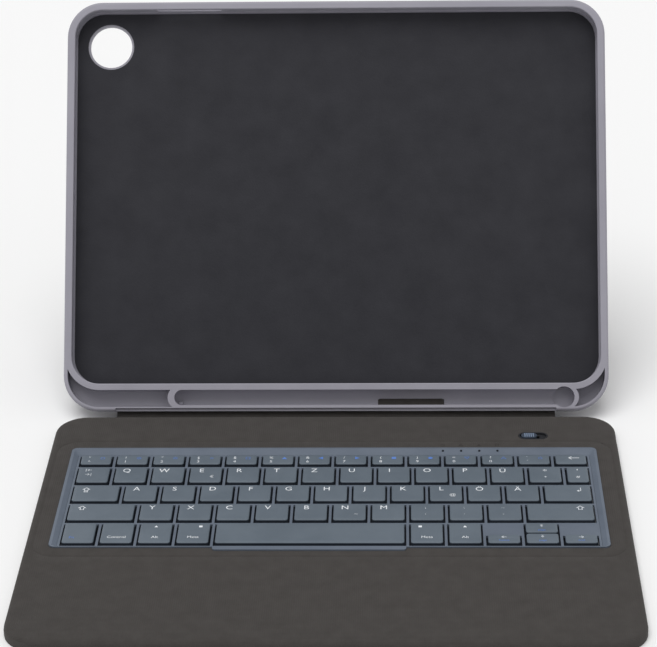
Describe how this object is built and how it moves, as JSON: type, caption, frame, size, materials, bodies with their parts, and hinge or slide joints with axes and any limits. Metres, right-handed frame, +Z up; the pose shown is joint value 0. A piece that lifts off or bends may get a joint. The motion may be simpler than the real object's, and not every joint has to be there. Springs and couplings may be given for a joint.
{
  "type": "tablet keyboard case",
  "caption": "Folio case for a tablet: a cloth-covered keyboard deck hinged to a moulded tray with a lip, a stylus channel along its foot and a folding stand at the back.",
  "frame": {"origin": "middle of the deck's underside, on the table", "axes": "+Z up, the keys face the user at -Y, +X to the user's right; the hinge runs along X at the rear"},
  "size_m": [0.258, 0.3027, 0.1714],
  "materials": {
    "cover_cloth": "fine woven cover, laminated",
    "tray_tpu": "moulded soft plastic, matt",
    "lining_microfibre": "brushed microfibre",
    "stiffener_board": "pressed grey board",
    "keyboard_plastic": "moulded, fine grain",
    "key_plastic": "moulded, soft-touch",
    "dome_rubber": "moulded silicone",
    "membrane_film": "printed film",
    "light_pipe_clear": "clear moulded",
    "plate_aluminium": "rolled sheet",
    "cell_foil": "foil pouch",
    "circuit_laminate": "solder mask",
    "bright_steel": "nickel-plated",
    "switch_plastic": "moulded",
    "knob_plastic": "moulded, ribbed",
    "foot_rubber": "moulded, matt"
  },
  "bodies": {
    "deck": {"deck_bottom_skin": "cover_cloth", "deck_top_skin": "cover_cloth", "deck_board": "stiffener_board", "closing_magnets": "bright_steel", "keyboard_bezel": "keyboard_plastic", "key_grid": "keyboard_plastic", "key_base_plate": "plate_aluminium", "key_membrane": "membrane_film", "rubber_domes": "dome_rubber", "light_pipes": "light_pipe_clear", "battery_cell": "cell_foil", "controller_board": "circuit_laminate", "usb_port": "bright_steel", "slide_switch_case": "switch_plastic", "switch_surround": "switch_plastic", "hinge_strip_deck_side": "cover_cloth"},
    "tray": {"tray_shell": "tray_tpu", "tray_lining": "lining_microfibre", "back_panel_board": "stiffener_board", "back_panel_skin": "cover_cloth", "hinge_strip_tray_side": "cover_cloth", "stand_hinge_fixed_leaves": "bright_steel", "stand_hinge_pins": "bright_steel"},
    "stand": {"stand_board": "stiffener_board", "stand_skin": "cover_cloth", "stand_hinge_moving_leaves": "bright_steel", "stand_foot_strip": "foot_rubber"},
    "switch": {"power_switch_knob": "knob_plastic"},
    "key_a": {"key_a": "key_plastic"},
    "key_b": {"key_b": "key_plastic"},
    "key_c": {"key_c": "key_plastic"},
    "key_d": {"key_d": "key_plastic"},
    "key_e": {"key_e": "key_plastic"},
    "key_f": {"key_f": "key_plastic"},
    "key_g": {"key_g": "key_plastic"},
    "key_h": {"key_h": "key_plastic"},
    "key_i": {"key_i": "key_plastic"},
    "key_j": {"key_j": "key_plastic"},
    "key_k": {"key_k": "key_plastic"},
    "key_l": {"key_l": "key_plastic"},
    "key_m": {"key_m": "key_plastic"},
    "key_n": {"key_n": "key_plastic"},
    "key_o": {"key_o": "key_plastic"},
    "key_p": {"key_p": "key_plastic"},
    "key_q": {"key_q": "key_plastic"},
    "key_r": {"key_r": "key_plastic"},
    "key_s": {"key_s": "key_plastic"},
    "key_t": {"key_t": "key_plastic"},
    "key_u": {"key_u": "key_plastic"},
    "key_v": {"key_v": "key_plastic"},
    "key_w": {"key_w": "key_plastic"},
    "key_x": {"key_x": "key_plastic"},
    "key_y": {"key_y": "key_plastic"},
    "key_z": {"key_z": "key_plastic"},
    "space_bar": {"space_bar": "key_plastic"},
    "number_keys": {"number_row_keys": "key_plastic"},
    "function_key_group": {"function_keys": "key_plastic"}
  },
  "joints": [
    {"name": "fold_tray", "type": "hinge", "parent": "deck", "child": "tray", "pos_m": [0, 0.0962, 0.0064], "axis": [-1, 0, 0], "range_deg": [-122, 12]},
    {"name": "fold_stand", "type": "hinge", "parent": "tray", "child": "stand", "pos_m": [0, 0.1642, 0.09126], "axis": [1, 0, 0], "range_deg": [-45.9, 74]},
    {"name": "switch_power", "type": "slide", "parent": "deck", "child": "switch", "axis": [1, 0, 0], "range_m": [0, 0.0036]},
    {"name": "key_a", "type": "slide", "parent": "deck", "child": "key_a", "axis": [0, 0, -1], "range_m": [0, 0.0012], "stiffness_N_per_m": 400, "deforming": ["rubber_domes"]},
    {"name": "key_b", "type": "slide", "parent": "deck", "child": "key_b", "axis": [0, 0, -1], "range_m": [0, 0.0012], "stiffness_N_per_m": 400, "deforming": ["rubber_domes"]},
    {"name": "key_c", "type": "slide", "parent": "deck", "child": "key_c", "axis": [0, 0, -1], "range_m": [0, 0.0012], "stiffness_N_per_m": 400, "deforming": ["rubber_domes"]},
    {"name": "key_d", "type": "slide", "parent": "deck", "child": "key_d", "axis": [0, 0, -1], "range_m": [0, 0.0012], "stiffness_N_per_m": 400, "deforming": ["rubber_domes"]},
    {"name": "key_e", "type": "slide", "parent": "deck", "child": "key_e", "axis": [0, 0, -1], "range_m": [0, 0.0012], "stiffness_N_per_m": 400, "deforming": ["rubber_domes"]},
    {"name": "key_f", "type": "slide", "parent": "deck", "child": "key_f", "axis": [0, 0, -1], "range_m": [0, 0.0012], "stiffness_N_per_m": 400, "deforming": ["rubber_domes"]},
    {"name": "key_g", "type": "slide", "parent": "deck", "child": "key_g", "axis": [0, 0, -1], "range_m": [0, 0.0012], "stiffness_N_per_m": 400, "deforming": ["rubber_domes"]},
    {"name": "key_h", "type": "slide", "parent": "deck", "child": "key_h", "axis": [0, 0, -1], "range_m": [0, 0.0012], "stiffness_N_per_m": 400, "deforming": ["rubber_domes"]},
    {"name": "key_i", "type": "slide", "parent": "deck", "child": "key_i", "axis": [0, 0, -1], "range_m": [0, 0.0012], "stiffness_N_per_m": 400, "deforming": ["rubber_domes"]},
    {"name": "key_j", "type": "slide", "parent": "deck", "child": "key_j", "axis": [0, 0, -1], "range_m": [0, 0.0012], "stiffness_N_per_m": 400, "deforming": ["rubber_domes"]},
    {"name": "key_k", "type": "slide", "parent": "deck", "child": "key_k", "axis": [0, 0, -1], "range_m": [0, 0.0012], "stiffness_N_per_m": 400, "deforming": ["rubber_domes"]},
    {"name": "key_l", "type": "slide", "parent": "deck", "child": "key_l", "axis": [0, 0, -1], "range_m": [0, 0.0012], "stiffness_N_per_m": 400, "deforming": ["rubber_domes"]},
    {"name": "key_m", "type": "slide", "parent": "deck", "child": "key_m", "axis": [0, 0, -1], "range_m": [0, 0.0012], "stiffness_N_per_m": 400, "deforming": ["rubber_domes"]},
    {"name": "key_n", "type": "slide", "parent": "deck", "child": "key_n", "axis": [0, 0, -1], "range_m": [0, 0.0012], "stiffness_N_per_m": 400, "deforming": ["rubber_domes"]},
    {"name": "key_o", "type": "slide", "parent": "deck", "child": "key_o", "axis": [0, 0, -1], "range_m": [0, 0.0012], "stiffness_N_per_m": 400, "deforming": ["rubber_domes"]},
    {"name": "key_p", "type": "slide", "parent": "deck", "child": "key_p", "axis": [0, 0, -1], "range_m": [0, 0.0012], "stiffness_N_per_m": 400, "deforming": ["rubber_domes"]},
    {"name": "key_q", "type": "slide", "parent": "deck", "child": "key_q", "axis": [0, 0, -1], "range_m": [0, 0.0012], "stiffness_N_per_m": 400, "deforming": ["rubber_domes"]},
    {"name": "key_r", "type": "slide", "parent": "deck", "child": "key_r", "axis": [0, 0, -1], "range_m": [0, 0.0012], "stiffness_N_per_m": 400, "deforming": ["rubber_domes"]},
    {"name": "key_s", "type": "slide", "parent": "deck", "child": "key_s", "axis": [0, 0, -1], "range_m": [0, 0.0012], "stiffness_N_per_m": 400, "deforming": ["rubber_domes"]},
    {"name": "key_t", "type": "slide", "parent": "deck", "child": "key_t", "axis": [0, 0, -1], "range_m": [0, 0.0012], "stiffness_N_per_m": 400, "deforming": ["rubber_domes"]},
    {"name": "key_u", "type": "slide", "parent": "deck", "child": "key_u", "axis": [0, 0, -1], "range_m": [0, 0.0012], "stiffness_N_per_m": 400, "deforming": ["rubber_domes"]},
    {"name": "key_v", "type": "slide", "parent": "deck", "child": "key_v", "axis": [0, 0, -1], "range_m": [0, 0.0012], "stiffness_N_per_m": 400, "deforming": ["rubber_domes"]},
    {"name": "key_w", "type": "slide", "parent": "deck", "child": "key_w", "axis": [0, 0, -1], "range_m": [0, 0.0012], "stiffness_N_per_m": 400, "deforming": ["rubber_domes"]},
    {"name": "key_x", "type": "slide", "parent": "deck", "child": "key_x", "axis": [0, 0, -1], "range_m": [0, 0.0012], "stiffness_N_per_m": 400, "deforming": ["rubber_domes"]},
    {"name": "key_y", "type": "slide", "parent": "deck", "child": "key_y", "axis": [0, 0, -1], "range_m": [0, 0.0012], "stiffness_N_per_m": 400, "deforming": ["rubber_domes"]},
    {"name": "key_z", "type": "slide", "parent": "deck", "child": "key_z", "axis": [0, 0, -1], "range_m": [0, 0.0012], "stiffness_N_per_m": 400, "deforming": ["rubber_domes"]},
    {"name": "key_space", "type": "slide", "parent": "deck", "child": "space_bar", "axis": [0, 0, -1], "range_m": [0, 0.0012], "stiffness_N_per_m": 500, "deforming": ["rubber_domes"]},
    {"name": "keys_number", "type": "slide", "parent": "deck", "child": "number_keys", "axis": [0, 0, -1], "range_m": [0, 0.0012], "stiffness_N_per_m": 5600, "deforming": ["rubber_domes"]},
    {"name": "keys_function", "type": "slide", "parent": "deck", "child": "function_key_group", "axis": [0, 0, -1], "range_m": [0, 0.0012], "stiffness_N_per_m": 9200, "deforming": ["rubber_domes"]}
  ]
}
